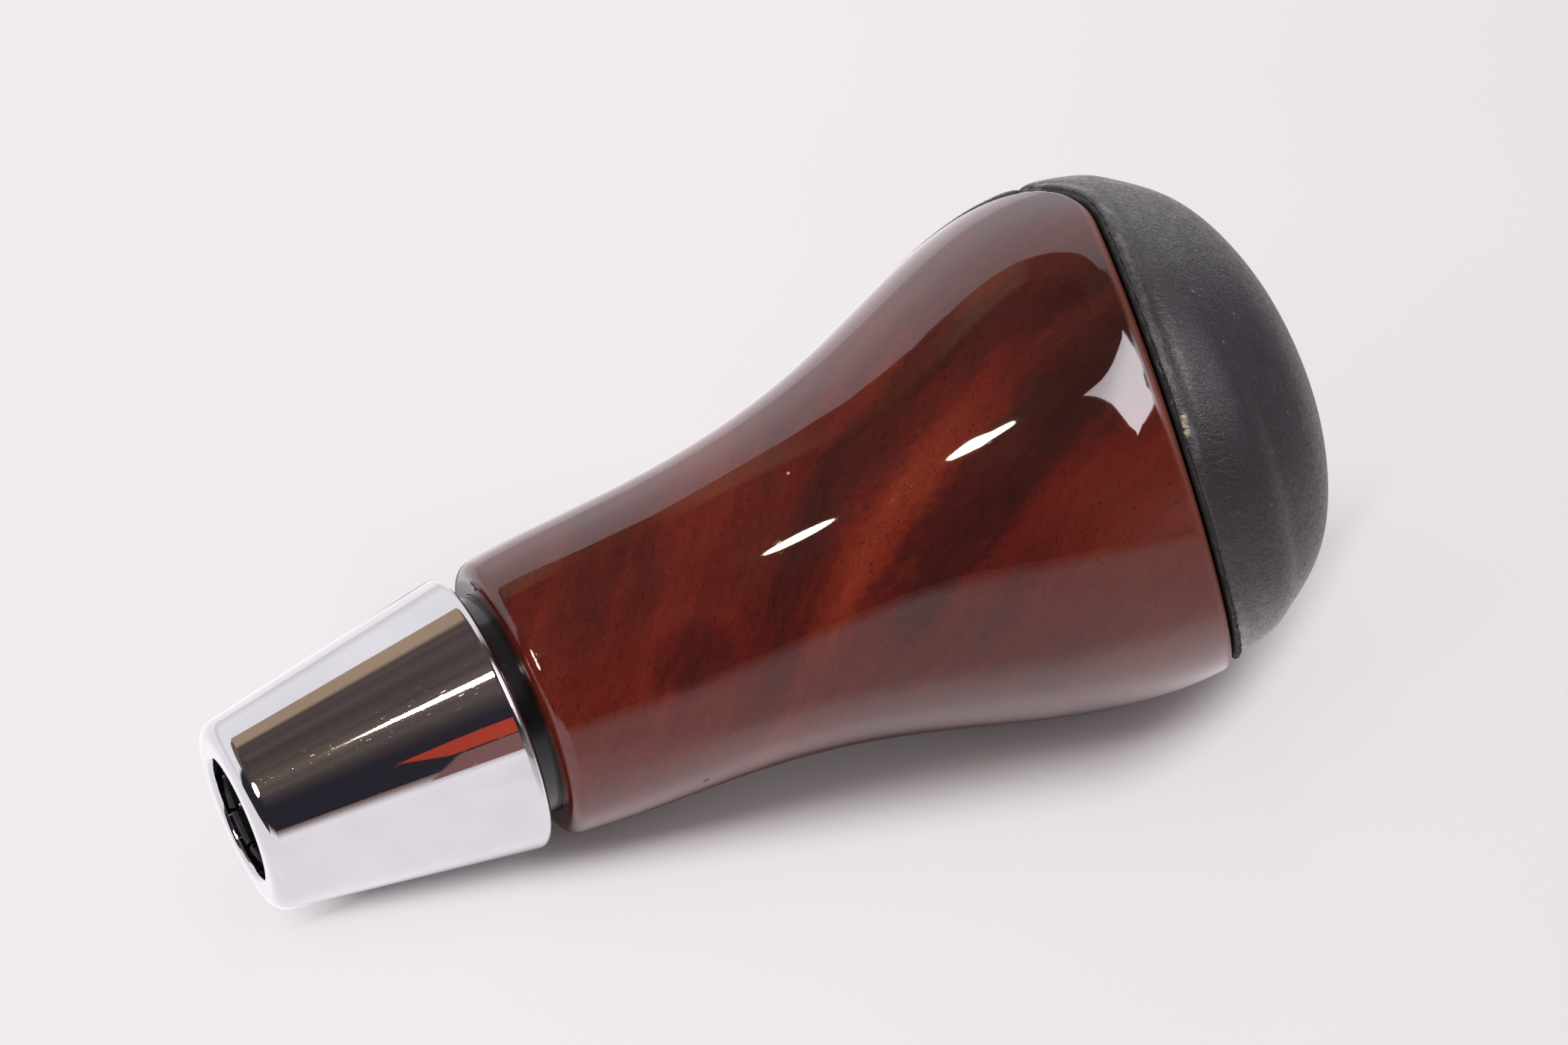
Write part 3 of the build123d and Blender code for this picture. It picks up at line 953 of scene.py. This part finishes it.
def make_window_finish():
    material, f = new_finish("window_white")
    inside = f.fade(f.along(f.spot(), RIGHT), *WINDOW_RIGHT)
    f.output(f.glow(f.mix(inside, WINDOW_EDGE, WINDOW_FULL)))
    return material


gloss_card("window", window_outline(), make_window_finish())

# Lamps

LAMP_AIM = (0.05, 0.02, 0.0)
WARM_WHITE = (1.0, 0.985, 0.97)
LAMP_WHITE = (1.0, 0.98, 0.96)
COOL_WHITE = (1.0, 0.98, 1.0)
BULB_YELLOW = (1.0, 0.93, 0.76)
# The round lamp whose long glints show on the wood and the collar: its two ends, and the waist it faces
BULB_ENDS = ((0.017, 0.525, 0.246), (-0.067, 0.506, 0.258))
BULB_TALL = 0.046
BULB_WATTS = 0.42
WAIST_AT = (0.045, 0.03, -0.01)


def lamp(name, shape, size, watts, colour):
    data = bpy.data.lights.new(name, "AREA")
    data.shape = shape
    data.size = size
    data.energy = watts
    data.color = colour
    made = bpy.data.objects.new(name, data)
    scene.collection.objects.link(made)
    return made


def round_lamp(name, place, size, watts, colour, glossy=True, diffuse=True):
    made = lamp(name, "DISK", size, watts, colour)
    made.location = on_set(*place)
    made.rotation_euler = (on_set(*LAMP_AIM) - made.location).to_track_quat("-Z", "Y").to_euler()
    made.visible_glossy = glossy
    made.visible_diffuse = diffuse


def long_lamp(name, ends, height, watts, colour):
    first, last = [on_set(*end) for end in ends]
    run = last - first
    middle = (first + last) / 2
    back = (middle - on_set(*WAIST_AT)).normalized()
    tall = back.cross(run.normalized()).normalized()
    wide = tall.cross(back)
    made = lamp(name, "ELLIPSE", run.length, watts, colour)
    made.data.size_y = height
    made.matrix_world = Matrix.Translation(middle) @ Matrix((wide, tall, back)).transposed().to_4x4()
    made.visible_diffuse = False


round_lamp("ceiling", (-0.25, 1.2, 0.15), size=1.5, watts=7.6, colour=WARM_WHITE, glossy=False)
round_lamp("side_lamp", (-0.45, 0.576, 0.522), size=0.16, watts=1.1, colour=LAMP_WHITE, glossy=False)
round_lamp("tall_lamp", (-0.30, 0.66, 0.505), size=0.26, watts=3.0, colour=COOL_WHITE, diffuse=False)
long_lamp("near_lamp", BULB_ENDS, BULB_TALL, BULB_WATTS, BULB_YELLOW)

# Room: dark, with a white wall behind the knob, a tan edge on the wall and a soft light beyond the head

HALO_WAY = (RIGHT * -0.135 + UP * 0.885 + FRONT * 0.446).normalized()
HALO_TAN = (0.34, 0.255, 0.18)
SOFT_WAY = (RIGHT * 0.70 + UP * 0.69 + FRONT * 0.18).normalized()
SOFT_WHITE = (1.60, 1.51, 1.60)
DARK_HIGH = (0.086, 0.064, 0.062)
DARK_HIGH_PALE = (0.150, 0.114, 0.106)
DARK_LOW = (0.034, 0.031, 0.043)
WALL_TOP = 0.656
WALL_TOP_RISE = 0.28
WALL_TOP_TURN = (radians(-40.0), radians(14.0))
WALL_END_TURN = (radians(24.0), radians(52.0))
WALL_LOW = (0.96, 0.92, 0.95)
WALL_HIGH = (1.24, 1.20, 1.27)
EDGE_TAN = (0.21, 0.145, 0.105)
EDGE_TAN_PALE = (0.54, 0.39, 0.27)
EDGE_TAN_AT = -0.40
FILL_LOW = (0.80, 0.770, 0.782)
FILL_HIGH = (0.64, 0.622, 0.628)


def make_room():
    world = bpy.data.worlds.new("room")
    scene.world = world
    world.use_nodes = True
    f = Finish(world.node_tree)
    way = f.node("ShaderNodeTexCoord", out="Generated")
    right = f.along(way, RIGHT)
    up = f.along(way, UP)
    front = f.along(way, FRONT)
    turn = right.math("ARCTAN2", right, -front)
    uneven = f.noise(way, 5.0, 3.0)
    high = f.mix(f.fade(uneven, 0.35, 0.7), DARK_HIGH, DARK_HIGH_PALE)
    dark = f.mix(f.fade(up, 0.80, 0.55), high, DARK_LOW)
    dark = f.mix(f.fade(f.along(way, HALO_WAY), 0.984, 0.999) * 0.25, dark, HALO_TAN)

    past_top = up - (WALL_TOP + f.fade(turn, *WALL_TOP_TURN) * WALL_TOP_RISE)
    warm = f.mix(f.fade((right - EDGE_TAN_AT).abs(), 0.13, 0.05), EDGE_TAN, EDGE_TAN_PALE)
    wall = f.mix(f.fade(past_top, 0.190, 0.140), dark, warm)
    white = f.mix(f.fade(up, 0.0, 0.30), WALL_LOW, WALL_HIGH)
    wall = f.mix(f.fade(past_top, 0.006, -0.006), wall, white)
    behind = f.fade(front, 0.22, 0.12)
    colour = f.mix(behind, dark, wall)
    colour = f.mix(f.fade(turn, *WALL_END_TURN) * behind * f.fade(up, -0.05, 0.05), colour, dark)
    colour = f.mix(f.fade(up, 0.42, -0.05) * f.fade(right, 0.40, 0.70), colour, SHEEN_EDGE)
    colour = f.mix(f.fade(f.along(way, SOFT_WAY), 0.88, 0.985), colour, SOFT_WHITE)

    fill = f.mix(f.fade(up, -0.2, 0.9), FILL_LOW, FILL_HIGH)
    colour = f.mix(f.ray("Is Glossy Ray"), fill, colour)
    colour = f.mix(f.ray("Is Camera Ray"), colour, PAPER)
    shade = f.node("ShaderNodeBackground", None, {"Color": colour, "Strength": 1.0})
    f.node("ShaderNodeOutputWorld", None, {"Surface": shade})


make_room()
